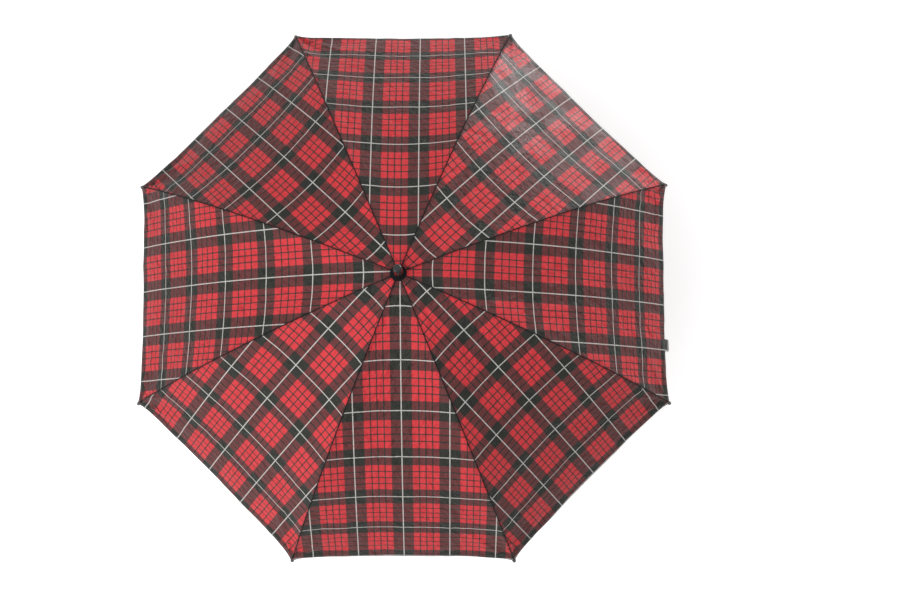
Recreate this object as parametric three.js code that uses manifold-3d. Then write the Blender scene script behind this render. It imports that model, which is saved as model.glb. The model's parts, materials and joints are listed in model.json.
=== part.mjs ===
// Stick umbrella, open. Millimetres, +Z up: the shaft stands on the Z axis, the ferrule is at the top and the
// J-hook handle at the bottom. The origin is on the shaft's axis, half-way up the straight grip.
// Eight ribs turn in the top notch, a stretcher props each one from the runner, and eight cloth gores cover them.

import * as THREE from 'three';
import { mergeVertices } from 'three/addons/utils/BufferGeometryUtils.js';
import Module from 'manifold-3d';

const wasm = await Module();
wasm.setup();

// Driving dimensions
const RIBS = 8;
const GAP = 0.3; // clearance between pieces that nearly touch

const CROWN_Z = 677; // top of the cloth, extended to the axis
const DOME_R = 739; // radius of the arc that the cloth follows over a rib
const DOME_TILT = THREE.MathUtils.degToRad(8); // slope of that arc at the axis
const CLOTH = 1.2; // cloth solid's thickness
const CLOTH_START = 12; // arc length from the axis to the cloth's crown hole
const CLOTH_END = 600; // arc length from the axis to the hem, along a rib

const RIB_DEPTH = 3.8; // from the cloth's top down to a rib's centreline
const RIB_HEIGHT = 2.8;
const RIB_WIDTH = 1.8;
const RIB_BREAK = 310; // arc length to the flex joint between a rib's two lengths
const RIB_END = 612;
const NOTCH_R = 7.8; // radius of the ring that the ribs turn on
const FLEX_GAP = 0.8;

const STRETCHER_JOINT = 225; // arc length to the rivet that joins a stretcher to its rib
const STRETCHER_SIDE = 2.2; // sideways offset of a stretcher from its rib's plane
const STRETCHER_HEIGHT = 2.6;
const RUNNER_PIVOT = [11.2, 382.2]; // radius and height where a stretcher meets the runner

const TIP_START = 602;
const TIP_END = 621;
const TIP_R = 3.6;

const SHAFT_R = 5;
const SHAFT_WALL = 0.8;
const SHAFT_TOP = 699;
const BORE_R = SHAFT_R + GAP;

const GRIP_R = 11;
const GRIP_TOP = 58;
const HOOK_R = 54.4; // radius of the hook's centreline
const HOOK_Z = -54; // height of the hook's centre
const HOOK_SWEEP = THREE.MathUtils.degToRad(204);

const FERRULE_BASE = 678.8;
const FERRULE_TIP = 739;

const CATCH_Z = { top: 318, bottom: 128 }; // middle of each spring catch

// Materials
function material(color, roughness, metalness) {
  return new THREE.MeshStandardMaterial({ color, roughness, metalness });
}
const steel = material(0xb9bcc0, 0.32, 1);
const darkSteel = material(0x55585c, 0.4, 1);
const blackPlastic = material(0x0b0b0c, 0.2, 0);
const blackWebbing = material(0x101011, 0.85, 0);
const tartan = material(0x7c2a2c, 0.75, 0);

// Helpers
const root = new THREE.Group();

function place(parent, name, geometry, look) {
  const mesh = new THREE.Mesh(geometry, look);
  mesh.name = name;
  parent.add(mesh);
  return mesh;
}

function toSolid(geometry) {
  const bare = geometry.clone();
  bare.deleteAttribute('normal');
  bare.deleteAttribute('uv');
  const merged = mergeVertices(bare, 1e-4);
  return new wasm.Manifold(new wasm.Mesh({
    numProp: 3,
    vertProperties: new Float32Array(merged.attributes.position.array),
    triVerts: new Uint32Array(merged.index.array),
  }));
}

function toGeometry(solid) {
  const mesh = solid.getMesh();
  const geometry = new THREE.BufferGeometry();
  geometry.setAttribute('position', new THREE.BufferAttribute(new Float32Array(mesh.vertProperties), 3));
  geometry.setIndex(new THREE.BufferAttribute(new Uint32Array(mesh.triVerts), 1));
  geometry.computeVertexNormals();
  return geometry;
}

function cut(geometry, tools) {
  return toGeometry(tools.reduce((solid, tool) => solid.subtract(toSolid(tool)), toSolid(geometry)));
}

// A box from its lowest and highest corners.
function block(low, high) {
  const [x, y, z] = high.map((v, i) => v - low[i]);
  const box = new THREE.BoxGeometry(x, y, z);
  return box.translate(low[0] + x / 2, low[1] + y / 2, low[2] + z / 2);
}

// A body of revolution about Z from a closed outline of [radius, z] points.
function turned(outline, segments = 32) {
  const points = outline.map(([r, z]) => new THREE.Vector2(r, z));
  if (outline[0][0] > 0) points.push(points[0].clone());
  return new THREE.LatheGeometry(points, segments).rotateX(Math.PI / 2);
}

// A plate with its outline in the radial plane: [radius, z] points, and width across the plane.
function plate(outline, width, side = 0, holes = []) {
  const points = outline.map(([r, z]) => new THREE.Vector2(r, z));
  const shape = new THREE.Shape(THREE.ShapeUtils.isClockWise(points) ? points.reverse() : points);
  for (const [r, z, holeR] of holes) {
    const hole = new THREE.Path();
    hole.absarc(r, z, holeR, 0, Math.PI * 2, true);
    shape.holes.push(hole);
  }
  const solid = new THREE.ExtrudeGeometry(shape, { depth: width, bevelEnabled: false, curveSegments: 6 });
  return solid.rotateX(Math.PI / 2).translate(0, side + width / 2, 0);
}

// The dome arc: a point at arc length s from the axis, some depth below the cloth's top.
function dome(s, depth = 0) {
  const angle = DOME_TILT + s / DOME_R;
  const r = (DOME_R - depth) * Math.sin(angle) - DOME_R * Math.sin(DOME_TILT);
  const z = CROWN_Z - DOME_R * Math.cos(DOME_TILT) + (DOME_R - depth) * Math.cos(angle);
  return [r, z];
}

// The arc length at which the dome, at some depth, reaches a radius.
function arcAt(radius, depth) {
  const angle = Math.asin((radius + DOME_R * Math.sin(DOME_TILT)) / (DOME_R - depth));
  return (angle - DOME_TILT) * DOME_R;
}

// A band of the dome between two arc lengths and two depths.
function band(from, to, top, bottom, steps, squeeze = 1) {
  const over = [];
  const under = [];
  for (let i = 0; i <= steps; i++) {
    const s = from + ((to - from) * i) / steps;
    const [rTop, zTop] = dome(s, top);
    const [rBottom, zBottom] = dome(s, bottom);
    over.push([rTop * squeeze, zTop]);
    under.push([rBottom * squeeze, zBottom]);
  }
  return [...under, ...over.reverse()];
}

// Shaft: a steel tube with a slot for each spring catch
function shaft() {
  const inner = SHAFT_R - SHAFT_WALL;
  const tube = turned([[inner, 0], [SHAFT_R, 0], [SHAFT_R, SHAFT_TOP], [inner, SHAFT_TOP]], 24);
  const slots = Object.values(CATCH_Z).map((z) => block([-SHAFT_R - 1, -1.4, z - 13], [-1.5, 1.4, z + 13]));
  place(root, 'shaft', cut(tube, slots), steel);
}

// A spring catch: a wedge-shaped tooth that stands out of the shaft's slot and presses in
function springCatch(name, z) {
  const out = -SHAFT_R - 3.2; // presses in by 3
  const inside = -1.9;
  const outline = [
    [inside, z - 11], [inside, z + 11], [inside - 1.2, z + 11], [out, z + 7], [out, z + 5.5],
    [-SHAFT_R - 0.2, z - 7], [inside - 1.2, z - 11],
  ];
  place(root, name, plate(outline, 2), steel);
}

// Crown: the notch that holds the rib ends on a wire ring, and a washer over the cloth
function topNotch() {
  const pivotZ = dome(arcAt(NOTCH_R, RIB_DEPTH), RIB_DEPTH)[1];
  const bottom = pivotZ - 5;
  const top = pivotZ + 2.6;
  const ring = turned([[BORE_R, bottom], [10.4, bottom], [10.4, top - 0.6], [9.8, top], [BORE_R, top]], 32);
  const slots = [];
  for (let k = 0; k < RIBS; k++) {
    slots.push(block([NOTCH_R - 2.05, -1.2, bottom - 1], [14, 1.2, pivotZ + 1.9]).rotateZ(ribAngle(k)));
  }
  const groove = turned([
    [NOTCH_R - 0.6, pivotZ - 6], [NOTCH_R + 0.6, pivotZ - 6],
    [NOTCH_R + 0.6, pivotZ + 0.7], [NOTCH_R - 0.6, pivotZ + 0.7],
  ], 32);
  place(root, 'top_notch', cut(ring, [...slots, groove]), darkSteel);
  place(root, 'notch_wire', wireRing(NOTCH_R, pivotZ), steel);
  place(root, 'crown_rosette', turned([
    [BORE_R, CROWN_Z + 0.4], [13, CROWN_Z - 0.7], [13.4, CROWN_Z - 0.2], [13, CROWN_Z + 0.3],
    [BORE_R, CROWN_Z + 1.4],
  ], 32), blackPlastic);
}

function wireRing(radius, z) {
  return new THREE.TorusGeometry(radius, 0.4, 6, 48).translate(0, 0, z);
}

function ferrule() {
  place(root, 'ferrule', turned([
    [0, SHAFT_TOP + GAP], [BORE_R, SHAFT_TOP + GAP], [BORE_R, FERRULE_BASE], [8.6, FERRULE_BASE],
    [9, FERRULE_BASE + 1.2], [8.7, FERRULE_BASE + 9], [7.1, FERRULE_TIP - 4.5], [6.6, FERRULE_TIP - 1.6],
    [5.2, FERRULE_TIP], [0, FERRULE_TIP],
  ], 32), blackPlastic);
}

// Runner: a sleeve with a slotted collar for the stretchers, a finger flange and a keyway over the catches
function runner() {
  const pivotZ = RUNNER_PIVOT[1];
  const top = pivotZ + 4;
  const bottom = pivotZ - 50;
  const sleeve = turned([
    [BORE_R, bottom], [11, bottom], [11.6, bottom + 1], [11.6, bottom + 4], [8.4, bottom + 7],
    [8.4, pivotZ - 12], [12.4, pivotZ - 7], [12.6, top - 0.8], [11.8, top], [BORE_R, top],
  ], 32);
  const slots = [];
  for (let k = 0; k < RIBS; k++) {
    const low = [9.5, STRETCHER_SIDE - 1.25, pivotZ - 14];
    const high = [15, STRETCHER_SIDE + 1.25, top + 1];
    slots.push(block(low, high).rotateZ(ribAngle(k)));
  }
  const keyway = block([-8.9, -1.4, bottom - 1], [-4, 1.4, top + 1]);
  const groove = turned([[9, pivotZ - 0.8], [10.4, pivotZ - 0.8], [10.4, top + 1], [9, top + 1]], 32);
  place(root, 'runner', cut(sleeve, [...slots, keyway, groove]), blackPlastic);
  place(root, 'runner_wire', wireRing(9.7, pivotZ), steel);
}

// Handle: a straight grip that runs into a J-hook, bored for the shaft, with a thin collar on top
class HookLine extends THREE.Curve {
  getPoint(t, target = new THREE.Vector3()) {
    const straight = GRIP_TOP - HOOK_Z;
    const total = straight + HOOK_R * HOOK_SWEEP;
    const along = t * total;
    if (along <= straight) return target.set(0, 0, GRIP_TOP - along);
    const turn = (along - straight) / HOOK_R;
    return target.set(HOOK_R - HOOK_R * Math.cos(turn), 0, HOOK_Z - HOOK_R * Math.sin(turn));
  }
}

function handle() {
  const section = new THREE.Shape();
  section.absarc(0, 0, GRIP_R, 0, Math.PI * 2, false);
  const swept = new THREE.ExtrudeGeometry(section, {
    steps: 44, curveSegments: 10, bevelEnabled: false, extrudePath: new HookLine(),
  });
  const bore = turned([[0, -1], [BORE_R, -1], [BORE_R, GRIP_TOP + 2], [0, GRIP_TOP + 2]], 24);
  place(root, 'handle', cut(swept, [bore]), blackPlastic);
  place(root, 'handle_collar', turned([
    [BORE_R, GRIP_TOP + GAP], [9.4, GRIP_TOP + GAP], [9.6, GRIP_TOP + 1.6], [8.8, GRIP_TOP + 3.6],
    [BORE_R, GRIP_TOP + 3.6],
  ], 32), darkSteel);
}

// Ribs, in the plane of +X, turned to their own azimuth by a group
function ribAngle(k) {
  return (Math.PI / RIBS) * (2 * k + 1);
}

function ribInner() {
  const pivot = arcAt(NOTCH_R, RIB_DEPTH);
  const joint = dome(STRETCHER_JOINT, RIB_DEPTH);
  const half = RIB_HEIGHT / 2;
  const outline = band(pivot - 1.1, RIB_BREAK - FLEX_GAP / 2, RIB_DEPTH - half, RIB_DEPTH + half, 12);
  const holes = [[...dome(pivot, RIB_DEPTH), 0.75], [...joint, 0.95]];
  return plate(outline, RIB_WIDTH, 0, holes);
}

function ribOuter() {
  const half = RIB_HEIGHT / 2;
  const outline = band(RIB_BREAK + FLEX_GAP / 2, RIB_END, RIB_DEPTH - half, RIB_DEPTH + half, 12);
  return plate(outline, RIB_WIDTH);
}

// A tip cup, along the rib's end, with a blind socket that the rib's end stands in
function ribTip() {
  const length = TIP_END - TIP_START;
  const cup = turned([
    [0, 0], [TIP_R - 0.9, 0], [TIP_R - 0.5, 0.8], [TIP_R - 0.3, 9], [TIP_R, length - 4],
    [TIP_R - 0.6, length - 1.2], [TIP_R - 1.8, length], [0, length],
  ], 16);
  const socket = block([-RIB_HEIGHT / 2 - 0.45, -RIB_WIDTH / 2 - 0.35, -1],
    [RIB_HEIGHT / 2 + 0.45, RIB_WIDTH / 2 + 0.35, RIB_END - TIP_START + 0.6]);
  const [r, z] = dome(TIP_START, RIB_DEPTH);
  const slope = DOME_TILT + (TIP_START + 4) / DOME_R;
  return cut(cup, [socket]).rotateY(Math.PI / 2 + slope).translate(r, 0, z);
}

// A stretcher, beside its rib, with a round eye at the rivet and a blunt foot near the runner's ring
function stretcher() {
  const eye = new THREE.Vector2(...dome(STRETCHER_JOINT, RIB_DEPTH));
  const foot = new THREE.Vector2(...RUNNER_PIVOT);
  const along = foot.clone().sub(eye).normalize();
  const across = new THREE.Vector2(-along.y, along.x).multiplyScalar(STRETCHER_HEIGHT / 2);
  const outline = [];
  for (let i = 0; i <= 6; i++) {
    const turn = (Math.PI * i) / 6;
    outline.push(eye.clone().addScaledVector(across, -Math.cos(turn))
      .addScaledVector(along, (-Math.sin(turn) * STRETCHER_HEIGHT) / 2));
  }
  outline.push(foot.clone().add(across), foot.clone().sub(across));
  return plate(outline.map((p) => [p.x, p.y]), RIB_WIDTH, STRETCHER_SIDE, [[eye.x, eye.y, 0.95]]);
}

// Cloth: a gore is the dome's band drawn in to the gore's own middle plane, cut to a wedge of one eighth
function gore() {
  const squeeze = Math.cos(Math.PI / RIBS);
  const outline = band(CLOTH_START, CLOTH_END, 0, CLOTH, 18, squeeze);
  const sheet = plate(outline, DOME_R);
  const far = DOME_R;
  const half = Math.PI / RIBS;
  const corner = 0.16 / Math.sin(half); // leaves a seam gap along each rib
  const wedge = new THREE.Shape([
    new THREE.Vector2(corner, 0),
    new THREE.Vector2(corner + far * Math.cos(half), -far * Math.sin(half)),
    new THREE.Vector2(corner + far * Math.cos(half), far * Math.sin(half)),
  ]);
  const prism = new THREE.ExtrudeGeometry(wedge, { depth: DOME_R, bevelEnabled: false });
  return toGeometry(toSolid(sheet).intersect(toSolid(prism)));
}

// The tie strap lies along the underside of the +X gore, and its end stands past the hem
function tieStrap() {
  const squeeze = Math.cos(Math.PI / RIBS);
  const width = 21;
  const outline = band(CLOTH_END - 130, CLOTH_END + 26, 7, 8.2, 10, squeeze);
  return plate(outline, width, -92);
}

function frame() {
  const shapes = {
    inner: ribInner(), outer: ribOuter(), tip: ribTip(), stretcher: stretcher(), gore: gore(),
  };
  for (let k = 0; k < RIBS; k++) {
    const spoke = new THREE.Group();
    spoke.rotation.z = ribAngle(k);
    root.add(spoke);
    place(spoke, `rib_${k + 1}_inner`, shapes.inner.clone(), steel);
    place(spoke, `rib_${k + 1}_outer`, shapes.outer.clone(), steel);
    place(spoke, `rib_tip_${k + 1}`, shapes.tip.clone(), blackPlastic);
    place(spoke, `stretcher_${k + 1}`, shapes.stretcher.clone(), steel);
    const cover = place(spoke, `canopy_gore_${k + 1}`, shapes.gore.clone(), tartan);
    cover.rotation.z = Math.PI / RIBS;
  }
}

shaft();
springCatch('top_catch', CATCH_Z.top);
springCatch('bottom_catch', CATCH_Z.bottom);
topNotch();
ferrule();
runner();
handle();
frame();
place(root, 'tie_strap', tieStrap(), blackWebbing);

export default root;
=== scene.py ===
"""Looks of the stick umbrella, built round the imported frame. Metres, +Z up, the shaft on the Z axis."""

import json
import math

import bpy
import numpy as np
from mathutils import Matrix, Vector


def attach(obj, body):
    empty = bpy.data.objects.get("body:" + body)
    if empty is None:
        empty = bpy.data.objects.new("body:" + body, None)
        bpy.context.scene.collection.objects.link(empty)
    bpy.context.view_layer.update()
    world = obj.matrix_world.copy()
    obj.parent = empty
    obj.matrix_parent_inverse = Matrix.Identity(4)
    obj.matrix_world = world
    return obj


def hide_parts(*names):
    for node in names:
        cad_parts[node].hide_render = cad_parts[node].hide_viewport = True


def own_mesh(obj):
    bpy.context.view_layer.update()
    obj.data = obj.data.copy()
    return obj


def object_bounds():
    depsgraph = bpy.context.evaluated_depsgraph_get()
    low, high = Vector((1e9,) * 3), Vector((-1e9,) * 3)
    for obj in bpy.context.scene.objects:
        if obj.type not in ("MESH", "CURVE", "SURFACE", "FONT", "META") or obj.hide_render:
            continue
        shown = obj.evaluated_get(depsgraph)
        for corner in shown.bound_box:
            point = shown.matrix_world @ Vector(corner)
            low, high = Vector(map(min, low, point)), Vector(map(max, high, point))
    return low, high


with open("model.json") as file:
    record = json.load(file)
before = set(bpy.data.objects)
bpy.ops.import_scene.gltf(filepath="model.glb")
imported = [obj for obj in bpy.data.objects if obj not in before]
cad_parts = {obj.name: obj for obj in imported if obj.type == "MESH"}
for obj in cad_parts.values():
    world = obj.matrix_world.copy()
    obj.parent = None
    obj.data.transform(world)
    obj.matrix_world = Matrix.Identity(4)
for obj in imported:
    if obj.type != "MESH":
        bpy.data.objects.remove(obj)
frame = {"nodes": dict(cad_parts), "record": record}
cad_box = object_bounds()

RIBS = 8
HALF_GORE = math.pi / RIBS
MM = 0.001

# The dome that the cloth follows over a rib: an arc, by its length from the shaft's axis
CROWN_Z = 0.677
DOME_R = 0.739
DOME_TILT = math.radians(8)
CLOTH_START = 0.012
FLEX_S = 0.310
HEM_S = 0.5995
TIP_S = 0.612
CORNER_REACH = 10 * MM  # the hem's corners are drawn out over the tip cups
RIB_DEPTH = 3.8 * MM

# Cloth
CLOTH_THICK = 0.5 * MM
SEAM_HALF = 0.2 * MM
SEAM_DROP = 1.7 * MM
SAG = 11.0 * MM
HEM_WIDTH = 8 * MM
COLUMNS = 40
ROW_STEP = 4.6 * MM
COLUMN_POWER = 1.5  # columns lie closer together near the seam
EDGE_STEP = 2 * MM  # the row past each end of a piece, for normals only

# Tartan: the repeat across and along a gore, and where each gore's own white lines fall, by azimuth in
# degrees: across from its middle, and up from its hem
REPEAT_ACROSS = 79 * MM
REPEAT_ALONG = 88 * MM
PLAID_BOW = 0.06  # how far lines across bow towards the hem at the seams, as a share of the half width
PLAID_SHIFT = {
    0: (-22.5 * MM, 87 * MM),
    45: (35 * MM, 82 * MM),
    90: (-31.5 * MM, 79 * MM),
    135: (-12 * MM, 89 * MM),
    180: (-2.5 * MM, 85 * MM),
    225: (-20.5 * MM, 85 * MM),
    270: (2.5 * MM, 89 * MM),
    315: (11.5 * MM, 89 * MM),
}


# ---------------------------------------------------------------- camera, light and floor
CAMERA_AIM = Vector((0, 0, 0.40))
CAMERA_DISTANCE = 3.0
CAMERA_TILT = (math.radians(1.33), math.radians(6.14))  # off the vertical, towards +X and -Y
CAMERA_LENS = 68.6  # millimetres, as is the sensor
CAMERA_SENSOR = 36.0
CAMERA_SHIFT = (0.0528, -0.0094)  # leaves room on the right of the umbrella
CAMERA_REACH = 50
SKY_STRENGTH = 0.36
LIGHTS = {  # place, aim, size in metres and power in watts
    "top": ((-0.9, -0.7, 3.0), (0, 0, 0.4), (2.4, 2.4), 74),
    "side": ((2.1, 2.4, 0.75), (0.1, 0.1, 0.45), (2.2, 1.4), 60),
    "fill": ((-2.4, -2.0, 0.9), (0, 0, 0.4), (1.8, 1.2), 20),
}
FLOOR_REACH = 12.0
FLOOR_GAP = 2 * MM


def make_camera():
    data = bpy.data.cameras.new("camera")
    camera = bpy.data.objects.new("camera", data)
    bpy.context.scene.collection.objects.link(camera)
    back = Vector((math.sin(CAMERA_TILT[0]), -math.sin(CAMERA_TILT[1]), 0))
    back.z = math.sqrt(1 - back.length_squared)
    camera.location = CAMERA_AIM + back * CAMERA_DISTANCE
    right = Vector((0, 1, 0)).cross(back).normalized()
    up = back.cross(right)
    camera.rotation_euler = Matrix((right, up, back)).transposed().to_euler()
    data.sensor_width = CAMERA_SENSOR
    data.lens = CAMERA_LENS
    data.shift_x, data.shift_y = CAMERA_SHIFT
    data.clip_end = CAMERA_REACH
    bpy.context.scene.camera = camera


def area_light(name, place, aim, size, watts):
    data = bpy.data.lights.new(name, "AREA")
    data.shape = "RECTANGLE"
    data.size, data.size_y = size
    data.energy = watts
    lamp = bpy.data.objects.new(name, data)
    bpy.context.scene.collection.objects.link(lamp)
    lamp.location = place
    lamp.rotation_euler = (Vector(aim) - Vector(place)).to_track_quat("-Z", "Y").to_euler()


def make_studio():
    world = bpy.data.worlds.new("studio")
    bpy.context.scene.world = world
    world.use_nodes = True
    background = world.node_tree.nodes["Background"]
    background.inputs["Color"].default_value = (1, 1, 1, 1)
    background.inputs["Strength"].default_value = SKY_STRENGTH
    for name, (place, aim, size, watts) in LIGHTS.items():
        area_light(name, place, aim, size, watts)
    bpy.context.scene.view_settings.view_transform = "Standard"


def make_floor():
    mesh = bpy.data.meshes.new("floor")
    reach, low = FLOOR_REACH, cad_box[0].z - FLOOR_GAP
    corners = [(-reach, -reach, low), (reach, -reach, low), (reach, reach, low), (-reach, reach, low)]
    mesh.from_pydata(corners, [], [(0, 1, 2, 3)])
    floor = bpy.data.objects.new("floor", mesh)
    bpy.context.scene.collection.objects.link(floor)
    material = new_material("floor_paper")
    shader = material.node_tree.nodes["Principled BSDF"]
    set_inputs(shader, Base_Color=(0.93, 0.93, 0.93, 1), Roughness=0.9)
    set_inputs(shader, Emission_Color=(1, 1, 1, 1), Emission_Strength=0.4)
    floor.data.materials.append(material)


# ---------------------------------------------------------------- material helpers
def new_material(name):
    material = bpy.data.materials.new(name)
    material.use_nodes = True
    return material


class Nodes:
    """Short calls for building one material's node tree."""

    def __init__(self, material):
        self.tree = material.node_tree
        self.shader = self.tree.nodes["Principled BSDF"]

    def add(self, kind, **settings):
        node = self.tree.nodes.new(kind)
        for key, value in settings.items():
            setattr(node, key, value)
        return node

    def link(self, source, target):
        self.tree.links.new(source, target)

    def feed(self, target, value):
        if isinstance(value, bpy.types.NodeSocket):
            self.link(value, target)
        else:
            target.default_value = value

    def math(self, operation, a, b=0.0):
        node = self.add("ShaderNodeMath", operation=operation)
        for socket, value in zip(node.inputs, (a, b)):
            self.feed(socket, value)
        return node.outputs[0]

    def parts(self, vector):
        """A vector's three parts."""
        node = self.add("ShaderNodeSeparateXYZ")
        self.link(vector, node.inputs[0])
        return node.outputs

    def scaled(self, vector, factors):
        node = self.add("ShaderNodeVectorMath", operation="MULTIPLY")
        self.link(vector, node.inputs[0])
        node.inputs[1].default_value = factors
        return node.outputs[0]

    def smooth(self, value, low, high, start, end):
        """From start to end as the value goes from low to high."""
        node = self.add("ShaderNodeMapRange", interpolation_type="SMOOTHSTEP")
        for socket, number in zip(node.inputs, (value, low, high, start, end)):
            self.feed(socket, number)
        return node.outputs[0]

    def mix(self, factor, a, b, blend="MIX"):
        node = self.add("ShaderNodeMix", data_type="RGBA", blend_type=blend)
        self.feed(node.inputs[0], factor)
        self.feed(node.inputs[6], a)
        self.feed(node.inputs[7], b)
        return node.outputs[2]

    def noise(self, vector, scale, detail=2.0, roughness=0.5):
        node = self.add("ShaderNodeTexNoise")
        self.feed(node.inputs["Vector"], vector)
        node.inputs["Scale"].default_value = scale
        node.inputs["Detail"].default_value = detail
        node.inputs["Roughness"].default_value = roughness
        return node.outputs[0]

    def bump(self, height, distance, strength=1.0, below=None):
        node = self.add("ShaderNodeBump")
        node.inputs["Strength"].default_value = strength
        node.inputs["Distance"].default_value = distance
        self.feed(node.inputs["Height"], height)
        if below is not None:
            self.link(below, node.inputs["Normal"])
        return node.outputs[0]

    def mark(self, name):
        """A number kept on the mesh."""
        return self.add("ShaderNodeAttribute", attribute_name=name).outputs["Fac"]

    def object_coords(self):
        return self.add("ShaderNodeTexCoord").outputs["Object"]


def set_inputs(shader, **values):
    for name, value in values.items():
        shader.inputs[name.replace("_", " ")].default_value = value


# ---------------------------------------------------------------- tartan
WHITE = (0.80, 0.78, 0.74, 1)
RED = (0.68, 0.046, 0.056, 1)
DARK = (0.030, 0.032, 0.027, 1)
WHITE_HALF = 0.85 * MM
DARK_HALF = 17.3 * MM
LINE_HALF = 1.15 * MM
RED_CELLS = 4
WHITE_BLUR = 0.25 * MM
WHITE_COVER = 0.68
STREAK_FINE, STREAK_LONG = 1400, 60  # noise cells to a metre, across a thread and along it
STREAK_DEPTH, SLOW_DEPTH, SHADE_BASE = 0.22, 0.16, 0.70
# near black: the seam's thread, and the painted shadow in and beside its groove
SEAM_THREAD_AND_SHADOW = (0.012, 0.011, 0.011, 1)
HEM_COLOUR = (0.014, 0.013, 0.013, 1)
STITCH_COLOUR = (0.03, 0.028, 0.027, 1)
STITCH_COVER = 0.8
STITCH_INSET = 1.2 * MM
STITCH_PITCH = 2.6 * MM
STITCH_GAP = 0.28  # share of the pitch that shows no thread
WEAVE_PITCH = 0.62 * MM
SHINE_EDGE = (0.395, 0.413)  # the tangent of the angle off the gore's middle; its seams are at 0.414
SHINE_START = (0.26, 0.58)  # metres, as X + Y


def sett(n, place, repeat):
    """The thread's colour at a place across the repeat: a dark band, then a red band of cells."""
    share = n.math("FRACT", n.math("DIVIDE", place, repeat))
    node = n.add("ShaderNodeValToRGB")
    ramp = node.color_ramp
    ramp.interpolation = "CONSTANT"
    steps = [(0.0, DARK), (DARK_HALF, RED)]
    pitch = (repeat - 2 * DARK_HALF) / RED_CELLS
    for cell in range(1, RED_CELLS):
        line = DARK_HALF + pitch * cell
        steps += [(line - LINE_HALF, DARK), (line + LINE_HALF, RED)]
    steps.append((repeat - DARK_HALF, DARK))
    while len(ramp.elements) < len(steps):
        ramp.elements.new(0.5)
    for element, (position, colour) in zip(ramp.elements, steps):
        element.position = position / repeat
    for element, (position, colour) in zip(ramp.elements, steps):
        element.color = colour
    n.link(share, node.inputs[0])
    return node.outputs[0]


def white_line(n, place, repeat):
    """1 on the white line at the middle of each dark band, 0 off it."""
    centred = n.math("SUBTRACT", n.math("FRACT", n.math("ADD", n.math("DIVIDE", place, repeat), 0.5)), 0.5)
    distance = n.math("MULTIPLY", n.math("ABSOLUTE", centred), repeat)
    return n.smooth(distance, WHITE_HALF - WHITE_BLUR, WHITE_HALF + WHITE_BLUR, 1.0, 0.0)


def woven_colour(n, across, along):
    """The two threads' colours mixed (the root of their product), with the white lines over them."""
    warp = sett(n, n.math("ADD", across, 10 * REPEAT_ACROSS), REPEAT_ACROSS)
    weft = sett(n, n.math("ADD", along, 10 * REPEAT_ALONG), REPEAT_ALONG)
    both = n.mix(1.0, warp, weft, "MULTIPLY")
    root = n.add("ShaderNodeGamma")
    n.link(both, root.inputs[0])
    root.inputs[1].default_value = 0.5
    lines = n.math("MAXIMUM", white_line(n, across, REPEAT_ACROSS), white_line(n, along, REPEAT_ALONG))
    return n.mix(n.math("MULTIPLY", lines, WHITE_COVER), root.outputs[0], WHITE)


def thread_shade(n, cloth, slow, lightness):
    """A grey to multiply by: fine streaks along both threads, and a slow change over the cloth, all times a
    lightness that is lower on the underside as painted shade.
    """
    warp_streak = n.noise(n.scaled(cloth, (STREAK_FINE, STREAK_LONG, 1)), scale=1.0, detail=1.0)
    weft_streak = n.noise(n.scaled(cloth, (STREAK_LONG, STREAK_FINE, 1)), scale=1.0, detail=1.0)
    streaks = n.math(
        "ADD", n.math("MULTIPLY", warp_streak, STREAK_DEPTH), n.math("MULTIPLY", weft_streak, STREAK_DEPTH)
    )
    shade = n.math("ADD", streaks, n.math("MULTIPLY", slow, SLOW_DEPTH))
    shade = n.math("MULTIPLY", n.math("ADD", shade, SHADE_BASE), lightness)
    grey = n.add("ShaderNodeCombineColor")
    for socket in grey.inputs:
        n.link(shade, socket)
    return grey.outputs[0]


def seam_and_hem(n, colour):
    """The seam's dark line, part sewn thread and part painted shadow of its groove, with a soft painted
    shadow beside it, and the hem's dark edge.
    """
    seam = n.mark("seam")
    # the dark line: sewn thread, and painted shadow in the seam's groove
    colour = n.mix(n.smooth(seam, 0.4 * MM, 1.5 * MM, 0.92, 0.0), colour, SEAM_THREAD_AND_SHADOW)
    # painted shade, fading out within 7 mm of the seam
    colour = n.mix(n.smooth(seam, 1 * MM, 7 * MM, 0.22, 0.0), colour, SEAM_THREAD_AND_SHADOW)
    return n.mix(n.smooth(n.mark("hem"), 0.2 * MM, 1.4 * MM, 0.75, 0.0), colour, HEM_COLOUR)


def hem_stitches(n, across):
    """1 on the row of stitches along the hem, 0 off it."""
    off_row = n.math("ABSOLUTE", n.math("SUBTRACT", n.mark("hem"), HEM_WIDTH - STITCH_INSET))
    dash = n.math("GREATER_THAN", n.math("FRACT", n.math("DIVIDE", across, STITCH_PITCH)), STITCH_GAP)
    return n.math("MULTIPLY", n.smooth(off_row, 0.2 * MM, 0.45 * MM, 1.0, 0.0), dash)


def cloth_bump(n, cloth, across, along, stitch):
    """Creases, a plain weave whose threads pass over and under one another, and the stitches."""
    over = n.math("SINE", n.math("MULTIPLY", across, 2 * math.pi / WEAVE_PITCH))
    under = n.math("SINE", n.math("MULTIPLY", along, 2 * math.pi / WEAVE_PITCH))
    weave = n.math("MULTIPLY", over, under)
    ridges = n.noise(cloth, scale=26.0, detail=4.0, roughness=0.6)
    ridges = n.math("ABSOLUTE", n.math("SUBTRACT", ridges, 0.5))
    fine = n.noise(cloth, scale=60.0, detail=4.0, roughness=0.6)
    creased = n.math("SUBTRACT", n.math("MULTIPLY", fine, 0.5), ridges)
    creases = n.bump(creased, distance=13 * MM, strength=1.0)
    threads = n.bump(weave, distance=0.05 * MM, strength=0.35, below=creases)
    return n.bump(stitch, distance=0.25 * MM, strength=0.8, below=threads)


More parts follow.
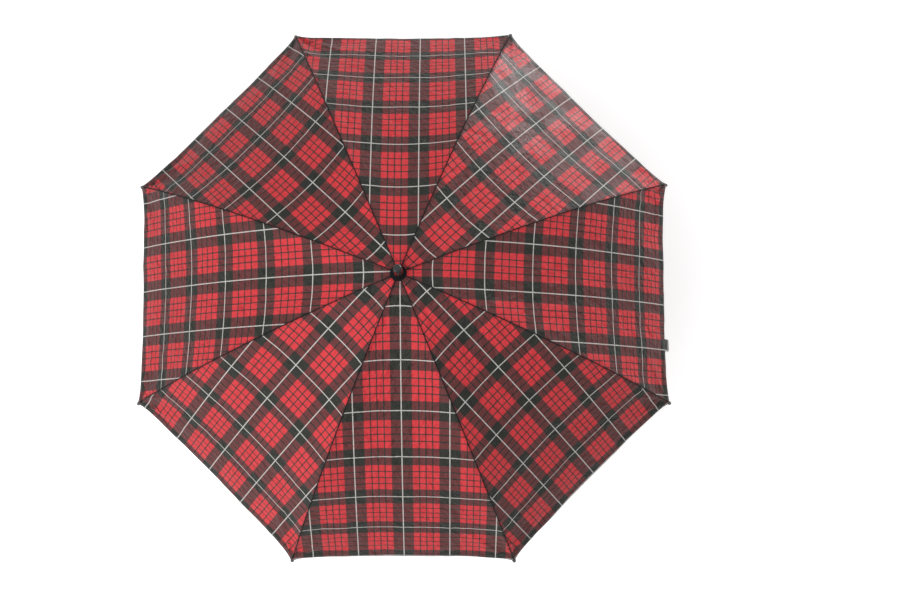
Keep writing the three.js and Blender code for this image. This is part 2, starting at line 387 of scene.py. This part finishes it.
def shine_patch(n):
    """0 to 1: a patchy shine on the outer half of the gore towards +X and +Y, most of it on the +Y side."""
    at = n.object_coords()
    place = n.parts(at)
    outwards = n.math("ADD", place[0], place[1])
    sideways = n.math("DIVIDE", n.math("SUBTRACT", place[1], place[0]), outwards)
    patch = n.smooth(n.math("ABSOLUTE", sideways), *SHINE_EDGE, 1.0, 0.0)
    patch = n.math("MULTIPLY", patch, n.smooth(outwards, *SHINE_START, 0.0, 1.0))
    patch = n.math("MULTIPLY", patch, n.smooth(sideways, -0.35, 0.3, 0.35, 1.0))
    blotches = n.noise(at, scale=22.0, detail=4.0)
    return n.math("MULTIPLY", patch, n.smooth(blotches, 0.40, 0.60, 0.3, 1.0))


def tartan_material(name, lightness, shine):
    material = new_material(name)
    n = Nodes(material)
    cloth = n.add("ShaderNodeUVMap", uv_map="cloth").outputs[0]
    across, along = n.parts(cloth)[:2]
    slow = n.noise(cloth, scale=9.0, detail=3.0)
    colour = n.mix(1.0, woven_colour(n, across, along), thread_shade(n, cloth, slow, lightness), "MULTIPLY")
    stitch = hem_stitches(n, across)
    colour = n.mix(n.math("MULTIPLY", stitch, STITCH_COVER), seam_and_hem(n, colour), STITCH_COLOUR)
    n.link(colour, n.shader.inputs["Base Color"])
    n.link(cloth_bump(n, cloth, across, along, stitch), n.shader.inputs["Normal"])
    set_inputs(n.shader, Sheen_Weight=0.012, Sheen_Roughness=0.45)
    patch = shine_patch(n)
    rough = n.math("ADD", n.math("MULTIPLY", slow, 0.12), 0.40)
    n.link(n.math("SUBTRACT", rough, n.math("MULTIPLY", patch, 0.20 * shine)), n.shader.inputs["Roughness"])
    n.link(n.math("ADD", n.math("MULTIPLY", patch, 0.6 * shine), 0.12), n.shader.inputs["Specular IOR Level"])
    return material


# ---------------------------------------------------------------- hard materials
DRAWN_LINES = (2600, 2600, 40)  # noise cells to a metre: fine across the drawing direction, Z, and long along


def between(n, factor, colour, low, high):
    """A colour that goes from low to high times its own lightness."""
    return n.mix(factor, [c * low for c in colour] + [1], [min(c * high, 1) for c in colour] + [1])


def plastic_material(name, colour, rough, coat=0.3):
    material = new_material(name)
    n = Nodes(material)
    at = n.object_coords()
    cloud = n.noise(at, scale=90.0, detail=4.0)
    n.link(n.math("ADD", n.math("MULTIPLY", cloud, 0.10), rough - 0.05), n.shader.inputs["Roughness"])
    n.link(between(n, n.noise(at, scale=25.0), colour, 0.8, 1.25), n.shader.inputs["Base Color"])
    grain = n.noise(at, scale=700.0)
    n.link(n.bump(grain, distance=0.03 * MM, strength=0.12), n.shader.inputs["Normal"])
    set_inputs(n.shader, Coat_Weight=coat, Coat_Roughness=0.06, Specular_IOR_Level=0.1 + coat)
    return material


def metal_material(name, colour, rough, metallic=1.0):
    material = new_material(name)
    n = Nodes(material)
    at = n.object_coords()
    lines = n.noise(n.scaled(at, DRAWN_LINES), scale=1.0)
    n.link(n.math("ADD", n.math("MULTIPLY", lines, 0.16), rough - 0.08), n.shader.inputs["Roughness"])
    cloud = n.noise(at, scale=30.0, detail=3.0)
    n.link(between(n, cloud, colour, 0.82, 1.12), n.shader.inputs["Base Color"])
    n.link(n.bump(lines, distance=0.02 * MM, strength=0.2), n.shader.inputs["Normal"])
    set_inputs(n.shader, Metallic=metallic)
    return material


# ---------------------------------------------------------------- dome and cloth shape
NOISE_CELLS = 64


def dome(s, depth=0.0):
    """Radius and height over a rib, at an arc length from the axis and a depth below the dome."""
    angle = DOME_TILT + np.asarray(s) / DOME_R
    r = (DOME_R - depth) * np.sin(angle) - DOME_R * math.sin(DOME_TILT)
    z = CROWN_Z - DOME_R * math.cos(DOME_TILT) + (DOME_R - depth) * np.cos(angle)
    return r, z


# Every half millimetre of a rib's arc, and the length of a gore's middle line up to there
ARC = np.linspace(0, 0.64, 1281)
ARC_R, ARC_Z = dome(ARC)
ALONG = np.concatenate([[0], np.cumsum(np.hypot(np.diff(ARC_R) * math.cos(HALF_GORE), np.diff(ARC_Z)))])


def middle_length(s):
    """Length along a gore's middle line, from the axis, where the rib's arc length is s."""
    return np.interp(s, ARC, ALONG)


def half_width(s):
    """Half of a gore's width, where the rib's arc length is s."""
    return dome(s)[0] * math.sin(HALF_GORE)


def ease(x):
    x = np.clip(x, 0, 1)
    return x * x * (3 - 2 * x)


def soft_noise(x, y, seed):
    """Smooth value noise from -1 to 1, one cell to a unit."""
    table = np.random.RandomState(seed).uniform(-1, 1, (NOISE_CELLS, NOISE_CELLS))
    xi, yi = np.floor(x).astype(int), np.floor(y).astype(int)
    fx, fy = ease(x - xi), ease(y - yi)

    def at(i, j):
        return table[(xi + i) % NOISE_CELLS, (yi + j) % NOISE_CELLS]

    low = at(0, 0) * (1 - fx) + at(1, 0) * fx
    high = at(0, 1) * (1 - fx) + at(1, 1) * fx
    return low * (1 - fy) + high * fy


def corner_reach(row, off):
    """How far past its row the cloth is drawn out over a tip cup."""
    return CORNER_REACH * np.exp(-off / (20 * MM)) * ease((row - HEM_S + 30 * MM) / (30 * MM))


def gore_slope(s):
    """The slope of a gore's middle line, where the rib's arc length is s."""
    return np.arctan(np.tan(DOME_TILT + s / DOME_R) / math.cos(HALF_GORE))


def sag_depth(s, share):
    """How far the cloth sags below the drum-tight shape, by its share of the way from seam to middle."""
    return SAG * share * (2 - share) * ease((s - 0.03) / 0.25) * (1 - 0.75 * ease((s - 0.45) / 0.15))


def ripples(s, off, share, u, side, seed):
    """Slow waves and fine drawn ones, crumples, puckers beside the seam, and gathers at the crown."""
    v = middle_length(s)
    slow = 1.2 * MM * soft_noise(u / 0.055, v / 0.13, seed) * ease(share * 2.5)
    drawn = 0.45 * MM * soft_noise(u / 0.016 + 9, v / 0.16, seed + 1) * ease(share * 4)
    crumple = 0.22 * MM * soft_noise(u / 0.013 + 3, v / 0.017, seed + 6) * ease(share * 5)
    rhythm = 2 * math.pi * (s / (12 * MM) + 0.9 * soft_noise(s / 0.05, 0 * s + 3 * side, seed + 2))
    strength = 0.35 + 0.65 * np.abs(soft_noise(s / 0.07 + 5, 0 * s + 7 * side, seed + 3))
    pucker = 0.55 * MM * np.sin(rhythm) * strength * np.exp(-off / (10 * MM)) * ease((s - 0.03) / 0.05)
    crown = 0.5 * MM * np.cos(share * 5 * math.pi) * np.exp(-s / 0.05) * ease(share * 3)
    return slow + drawn + crumple + pucker + crown


def tip_folds(row, s, off, width, gore, side):
    """Folds that fan out from the tip, with two sharp creases among them; they fade at the hem and seam."""
    seed = 11 * gore
    inward = np.interp(TIP_S, ARC, ARC_R) * math.sin(HALF_GORE) - (width - off)
    back = middle_length(TIP_S) - middle_length(s)
    reach = np.hypot(inward, back)
    turn = np.arctan2(inward, back)
    away = ease((HEM_S - row + 1 * MM) / (18 * MM)) * ease(off / (5 * MM))
    chance = np.random.RandomState(seed + 8 + side).rand(5)
    wave = np.cos(5.5 * turn - 0.8 + 3 * chance[0] + 1.1 * soft_noise(reach / 0.04, 0 * s + gore, seed + 4))
    crisp = 0.9 - 1.8 * np.sqrt(np.abs(wave))
    folds = 3.2 * MM * (0.7 + 0.8 * chance[1]) * crisp * (reach / 0.032) * np.exp(1 - reach / 0.032) * away
    for place, size in ((0.35 + 0.4 * chance[2], 1.3), (1.0 + 0.35 * chance[3], 0.9)):
        apart = (turn - place - 0.1 * soft_noise(reach / 0.06, 0 * s + 5, seed + 7)) * reach
        crease = np.exp(-np.abs(apart) / (3.5 * MM)) * (reach / 0.06) * np.exp(1 - reach / 0.06)
        folds = folds - size * MM * crease * away
    return folds


def hem_relief(row, s, off, u, seed):
    """The hem's doubled cloth, its slight waves, and its lift over the tip cup."""
    from_hem = HEM_S - row
    doubled = 0.4 * MM * (1 - ease((from_hem - HEM_WIDTH + 0.6 * MM) / (1.2 * MM)))
    waves = 0.5 * MM * soft_noise(u / 0.045, 0 * s + 2, seed + 5) * np.exp(-from_hem / 0.03)
    over_tip = 0.9 * MM * ease((s - 0.590) / 0.012) * np.exp(-off / (9 * MM))
    return doubled + waves * ease(off / 0.03) + over_tip


def cloth_relief(row, s, off, width, gore, side):
    """How far the cloth stands out from the drum-tight shape."""
    share = np.clip(off / width, 0, 1)
    u = side * (width - off)
    seed = 11 * gore
    relief = ripples(s, off, share, u, side, seed) + tip_folds(row, s, off, width, gore, side)
    return relief + hem_relief(row, s, off, u, seed) - sag_depth(s, share)


def gore_sheet(row, off, drop, gore, side):
    """Points on the inside of half a gore, by row and distance from the seam, lowered by drop."""
    s = row + corner_reach(row, off)
    r, z = dome(s)
    width = half_width(s)
    slope = gore_slope(s)
    out = cloth_relief(row, s, np.minimum(off, width), width, gore, side) - drop
    x = r * math.cos(HALF_GORE) + np.sin(slope) * out
    z = z + np.cos(slope) * out
    y = side * (width - off)
    azimuth = gore * 2 * HALF_GORE
    c, d = math.cos(azimuth), math.sin(azimuth)
    return np.stack([x * c - y * d, x * d + y * c, z], -1)


def plaid_run(x):
    """The plaid's own length at a distance from the hem. The repeat is drawn up a little, 11 cm in."""
    return x + 0.01 * np.tanh((x - 0.110) / 0.053)


def plaid_coords(row, off, gore, side):
    """Where each point falls in the plaid: across, from its gore's white line, and in from the hem's."""
    s = row + corner_reach(row, off)
    width = half_width(s)
    share = np.clip(off / width, 0, 1)
    shift_across, shift_along = PLAID_SHIFT[45 * (gore % RIBS)]
    x = middle_length(HEM_S) - middle_length(s)
    x = x + sag_depth(s, share) * np.tan(gore_slope(s)) + PLAID_BOW * width * (1 - share) ** 2
    return np.stack([side * (width - off) - shift_across, plaid_run(x) - plaid_run(shift_along)], -1)


# ---------------------------------------------------------------- cloth meshes
def unit(v):
    return v / np.maximum(np.linalg.norm(v, axis=-1, keepdims=True), 1e-12)


def grid_normals(points, flip):
    down = np.gradient(points, axis=0)
    right = np.gradient(points, axis=1)
    return unit(np.cross(down, right) * (-1 if flip else 1))


def gore_grid(first, last):
    """Rows and distances from the seam over half a gore, with one more row past each end."""
    rows = max(int((last - first) / ROW_STEP), 4)
    s = np.linspace(first, last, rows + 1)
    if last == HEM_S:
        edge = HEM_S - np.array([HEM_WIDTH + 1.2 * MM, HEM_WIDTH - 0.1 * MM, HEM_WIDTH - 1 * MM, 1 * MM])
        s = np.unique(np.concatenate([s, edge]))
    s = np.concatenate([[first - EDGE_STEP], s, [last + EDGE_STEP]])
    width = half_width(s)[:, None]
    off = SEAM_HALF + np.linspace(0, 1, COLUMNS)[None, :] ** COLUMN_POWER * (width - SEAM_HALF)
    return np.repeat(s[:, None], COLUMNS, axis=1), off


def gore_inside(first, last, gore, side):
    """The inside of half a gore: points, normals that agree with the next piece's, rows and distances."""
    row, off = gore_grid(first, last)
    inside = gore_sheet(row, off, 0, gore, side)
    past = gore_sheet(row[:, -2:-1], off[:, -2:-1], 0, gore, -side)
    normal = grid_normals(np.concatenate([inside, past], axis=1), side < 0)[1:-1, :-1]
    return inside[1:-1], normal, row[1:-1], off[1:-1]


def turn_seam_edge_down(inside, normal, row, off, gore, side):
    """Three more columns in front of the first, each lower than the one after it."""
    folds = ((SEAM_DROP, 0.4), (SEAM_DROP * 0.45, 0.6), (0.25 * MM, 0.75))
    shallow = 1 - 0.85 * ease((row[:, :1] - 0.575) / 0.02)
    lips = [gore_sheet(row[:, :1], off[:, :1] * draw, fall * shallow, gore, side) for fall, draw in folds]
    sideways = unit(inside[:, :1] - inside[:, 1:2])
    lip_normals = [sideways, sideways, unit(sideways + normal[:, :1])]
    normal[:, :1] = unit(normal[:, :1] + 0.35 * sideways)
    inside = np.concatenate(lips + [inside], axis=1)
    normal = np.concatenate(lip_normals + [normal], axis=1)
    row = np.concatenate([np.repeat(row[:, :1], len(folds), axis=1), row], axis=1)
    off = np.concatenate([np.repeat(off[:, :1] * 0, len(folds), axis=1), off], axis=1)
    return inside, normal, row, off


def shell_faces(rows, columns, flip):
    """Faces of a thin closed shell on a grid: the first sheet's, the second sheet's, and the rim's."""
    count = rows * columns
    index = np.arange(count).reshape(rows, columns)
    sheet = np.stack([index[:-1, :-1], index[1:, :-1], index[1:, 1:], index[:-1, 1:]], -1).reshape(-1, 4)
    ring = np.concatenate([index[0, :], index[1:, -1], index[-1, -2::-1], index[-2:0:-1, 0]])
    after = np.roll(ring, -1)
    rim = np.stack([ring, after, after + count, ring + count], -1)
    if flip:
        sheet, rim = sheet[:, ::-1], rim[:, ::-1]
    return sheet, sheet[:, ::-1] + count, rim


def half_gore(first, last, gore, side):
    """A closed shell for half a gore: vertices, faces by sheet, corner normals, plaid and marks."""
    surface = gore_inside(first, last, gore, side)
    inside, normal, row, off = turn_seam_edge_down(*surface, gore, side)
    outside = inside - normal * CLOTH_THICK
    faces = shell_faces(*row.shape, side < 0)
    vertices = np.concatenate([inside.reshape(-1, 3), outside.reshape(-1, 3)])
    vertex_normals = np.concatenate([normal.reshape(-1, 3), -normal.reshape(-1, 3)])
    smooth = vertex_normals[np.concatenate(faces[:2]).ravel()]
    p = vertices[faces[2]]
    flat = unit(np.cross(p[:, 1] - p[:, 0], p[:, 3] - p[:, 0]))
    corner_normals = np.concatenate([smooth, np.repeat(flat, 4, axis=0)])
    marks = (np.maximum(off, 0), HEM_S - row)
    return vertices, faces, corner_normals, plaid_coords(row, off, gore, side), marks


def mesh_object(name, vertices, faces, materials):
    mesh = bpy.data.meshes.new(name)
    mesh.from_pydata([tuple(v) for v in vertices], [], [tuple(int(i) for i in f) for f in faces])
    obj = bpy.data.objects.new(name, mesh)
    bpy.context.scene.collection.objects.link(obj)
    for material in materials:
        mesh.materials.append(material)
    mesh.polygons.foreach_set("use_smooth", np.ones(len(mesh.polygons), bool))
    return obj


def write_cloth_data(mesh, faces, plaid, marks):
    """Both sheets' place in the plaid, and their distance from the seam and from the hem."""
    both = np.tile(plaid.reshape(-1, 2), (2, 1))
    layer = mesh.uv_layers.new(name="cloth")
    layer.data.foreach_set("uv", both[faces.ravel()].astype(np.float32).ravel())
    for name, values in zip(("seam", "hem"), marks):
        attribute = mesh.attributes.new(name, "FLOAT", "POINT")
        attribute.data.foreach_set("value", np.tile(values.ravel(), 2).astype(np.float32))


# ---------------------------------------------------------------- canopy
def rib_azimuth(k):
    return HALF_GORE * (2 * k - 1)


def turned(v, azimuth):
    c, d = math.cos(azimuth), math.sin(azimuth)
    return np.array([v[0] * c - v[1] * d, v[0] * d + v[1] * c, v[2]])


def canopy_piece(k, part, side, first, last, materials):
    """The cloth on one side of rib k, out to the middle of its gore, along one of the rib's two lengths."""
    gore = k if side > 0 else k - 1
    vertices, sheets, normals, plaid, marks = half_gore(first, last, gore, -side)
    faces = np.concatenate(sheets)
    where = "left" if side > 0 else "right"
    obj = mesh_object(f"canopy_{k}_{part}_{where}", vertices, faces, materials)
    inside_first = (np.arange(len(faces)) < len(sheets[0])).astype(np.int32)
    obj.data.polygons.foreach_set("material_index", inside_first)
    write_cloth_data(obj.data, faces, plaid, marks)
    obj.data.normals_split_custom_set(normals)

    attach(obj, f"rib_{k}_{part}")
    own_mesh(obj)
    before = RIBS if k == 1 else k - 1
    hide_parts(f"canopy_gore_{k if side > 0 else before}")


def make_canopy():
    """All the cloth pieces. Returns their materials, the outside's and then the inside's, which is darker as
    painted shade.
    """
    cloth = [
        tartan_material("tartan_cloth", lightness=0.85, shine=1),
        # the inside is the same cloth made darker: painted shade under the canopy
        tartan_material("tartan_underside_shaded", lightness=0.68, shine=0),
    ]
    for k in range(1, RIBS + 1):
        for side in (1, -1):
            canopy_piece(k, "inner", side, CLOTH_START, FLEX_S, cloth)
            canopy_piece(k, "outer", side, FLEX_S, HEM_S, cloth)
    return cloth


# ---------------------------------------------------------------- tie strap
STRAP_AT = -92 * MM  # from the middle of the gore, towards rib 8
STRAP_WIDE = 21 * MM
STRAP_FROM, STRAP_TO = 0.470, 0.626
STRAP_THICK = 1.1 * MM
STRAP_BELOW = 3.4 * MM  # under the cloth it is sewn to


def strap_surface(ss, ee):
    """Points down the middle of the strap's thickness, by row and by share of its half width."""
    y = STRAP_AT + ee * STRAP_WIDE / 2
    width = half_width(ss)
    share = (width - np.abs(y)) / width
    under = sag_depth(ss, np.clip(share, 0, 1)) + STRAP_BELOW
    past = ease((ss - HEM_S) / 0.03)
    under = under + 0.6 * MM * np.sin(ss / 0.011) * ee * (1 - past) + past * 1.5 * MM
    r, z = dome(ss)
    slope = gore_slope(ss)
    x = r * math.cos(HALF_GORE) - np.sin(slope) * under
    return np.stack([x, y, z - np.cos(slope) * under], -1)


def make_strap(cloth):
    """A doubled strip of the same cloth, sewn on under the gore near the hem; its end hangs past the hem."""
    ss, ee = np.meshgrid(np.linspace(STRAP_FROM, STRAP_TO, 54), np.linspace(-1, 1, 13), indexing="ij")
    middle = strap_surface(ss, ee)
    normal = grid_normals(middle, False)
    thick = STRAP_THICK * (1 - 0.5 * np.abs(ee) ** 6)[..., None]
    shell = [middle + normal * thick / 2, middle - normal * thick / 2]
    faces = np.concatenate(shell_faces(*ss.shape, False))
    obj = mesh_object("tie_strap_cloth", np.concatenate([v.reshape(-1, 3) for v in shell]), faces, cloth[:1])
    from_end = STRAP_TO - ss
    plaid = np.stack([from_end - 5 * MM, 7 * MM + ee * 8 * MM], -1)
    edge = np.minimum(from_end, (1 - np.abs(ee)) * STRAP_WIDE / 2) + 1.6 * MM
    write_cloth_data(obj.data, faces, plaid, (0 * ss + 1, edge + 4.5 * MM))
    obj.data.set_sharp_from_angle(angle=math.radians(50))
    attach(obj, "rib_8_outer")
    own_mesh(obj)
    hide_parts("tie_strap")


# ---------------------------------------------------------------- small fittings
TIE_PLACES = {"inner": (0.060, 0.150, 0.270), "outer": (0.370, 0.460, 0.550)}  # arc lengths along a rib
TIE_DEPTH = 3.7 * MM
TIE_TURNS = (-0.7 * MM, 0, 0.7 * MM)
TIE_RADIUS = 2.0 * MM
THREAD_RADIUS = 0.3 * MM
JOINT_S = 0.225
STRETCHER_SIDE = 2.2 * MM  # how far a stretcher lies beside its rib
RIVET_ENDS = (-1.5 * MM, STRETCHER_SIDE + 1.5 * MM)
RIVET_HEAD = ((0, 0.6 * MM), (0.3 * MM, 1.15 * MM), (0.5 * MM, 1.15 * MM), (0.6 * MM, 0.55 * MM))


def swept_ring(centre, first, second, ring_radius, tube_radius, around=20, section=8):
    """A thin ring of thread in the plane of two directions: vertices and faces."""
    a = np.linspace(0, 2 * math.pi, around, endpoint=False)[:, None]
    b = np.linspace(0, 2 * math.pi, section, endpoint=False)[None, :]
    third = np.cross(first, second)
    reach = ring_radius + tube_radius * np.cos(b)
    points = centre + (reach * np.cos(a))[..., None] * first + (reach * np.sin(a))[..., None] * second
    points = points + (tube_radius * np.sin(b) + 0 * a)[..., None] * third
    index = np.arange(around * section).reshape(around, section)
    right, down = np.roll(index, -1, axis=1), np.roll(index, -1, axis=0)
    faces = np.stack([index, down, np.roll(down, -1, axis=1), right], -1).reshape(-1, 4)
    return points.reshape(-1, 3), faces


def turned_part(centre, axis, profile, section=20):
    """A small part turned on a lathe, with closed ends, from (distance along the axis, radius) pairs."""
    axis = unit(np.array(axis, float))
    first = unit(np.cross(axis, (0.3, 0.2, 1.0)))
    second = np.cross(axis, first)
    b = np.linspace(0, 2 * math.pi, section, endpoint=False)
    rim = np.cos(b)[:, None] * first + np.sin(b)[:, None] * second
    points = np.concatenate([centre + axis * at + rim * radius for at, radius in profile])
    index = np.arange(len(profile) * section).reshape(len(profile), section)
    right = np.roll(index, -1, axis=1)
    faces = np.stack([index[:-1], right[:-1], right[1:], index[1:]], -1).reshape(-1, 4).tolist()
    return points, faces + [index[0][::-1].tolist(), index[-1].tolist()]


def rib_frame(k, s, depth):
    """A place on rib k with its outward normal, its lengthways and its sideways direction."""
    azimuth = rib_azimuth(k)
    r, z = dome(s, depth)
    angle = DOME_TILT + s / DOME_R
    centre = turned((float(r), 0, float(z)), azimuth)
    normal = turned((math.sin(angle), 0, math.cos(angle)), azimuth)
    along = turned((math.cos(angle), 0, -math.sin(angle)), azimuth)
    return centre, normal, along, turned((0, 1, 0), azimuth)


def make_thread_ties(k, part, thread):
    """Three ties round one length of rib k, each of three turns of thread."""
    vertices, faces = [], []
    for s in TIE_PLACES[part]:
        centre, normal, along, sideways = rib_frame(k, s, TIE_DEPTH)
        for step in TIE_TURNS:
            ring = swept_ring(centre + along * step, sideways, normal, TIE_RADIUS, THREAD_RADIUS)
            faces.append(ring[1] + sum(len(v) for v in vertices))
            vertices.append(ring[0])
    name = f"thread_ties_{k}_{part}"
    obj = mesh_object(name, np.concatenate(vertices), np.concatenate(faces), [thread])
    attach(obj, f"rib_{k}_{part}")


def make_rivet(k, metal):
    """The rivet through rib k and its stretcher, with a head at each end."""
    centre, normal, along, sideways = rib_frame(k, JOINT_S, RIB_DEPTH)
    start, end = RIVET_ENDS
    profile = [(start + at, radius) for at, radius in RIVET_HEAD]
    profile += [(end - at, radius) for at, radius in reversed(RIVET_HEAD)]
    points, faces = turned_part(centre, sideways, profile)
    obj = mesh_object(f"rib_rivet_{k}", points, faces, [metal])
    obj.data.set_sharp_from_angle(angle=math.radians(40))
    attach(obj, f"rib_{k}_inner")


# ---------------------------------------------------------------- the whole scene
def make_hard_materials():
    looks = {
        "black_plastic": plastic_material("black_plastic", (0.008, 0.008, 0.0085), rough=0.22),
        "steel": metal_material("steel", (0.60, 0.61, 0.63), rough=0.32),
        "dark_steel": metal_material("dark_steel", (0.10, 0.10, 0.11), rough=0.38, metallic=0.8),
        "webbing": plastic_material("webbing", (0.015, 0.015, 0.016), rough=0.8),
        "black_felt": plastic_material("black_felt", (0.008, 0.008, 0.009), rough=0.9, coat=0),
        "black_thread": plastic_material("black_thread", (0.012, 0.012, 0.013), rough=0.8, coat=0),
    }
    looks["tartan"] = looks["webbing"]  # on the CAD gores, which the cloth pieces replace
    return looks


def finish_cad_nodes(looks):
    """A material for each CAD node, by its slot, and smooth shading up to a sharp edge."""
    slots = {s["node"]: s["material_slot"] for s in frame["record"]["subparts"]}
    for name, node in frame["nodes"].items():
        node.data.materials.clear()
        node.data.materials.append(looks["black_felt" if name == "crown_rosette" else slots[name]])
        node.data.polygons.foreach_set("use_smooth", np.ones(len(node.data.polygons), bool))
        node.data.set_sharp_from_angle(angle=math.radians(32))


make_camera()
make_studio()
make_floor()
make_strap(make_canopy())
looks = make_hard_materials()
for k in range(1, RIBS + 1):
    make_thread_ties(k, "inner", looks["black_thread"])
    make_thread_ties(k, "outer", looks["black_thread"])
    make_rivet(k, looks["steel"])
finish_cad_nodes(looks)
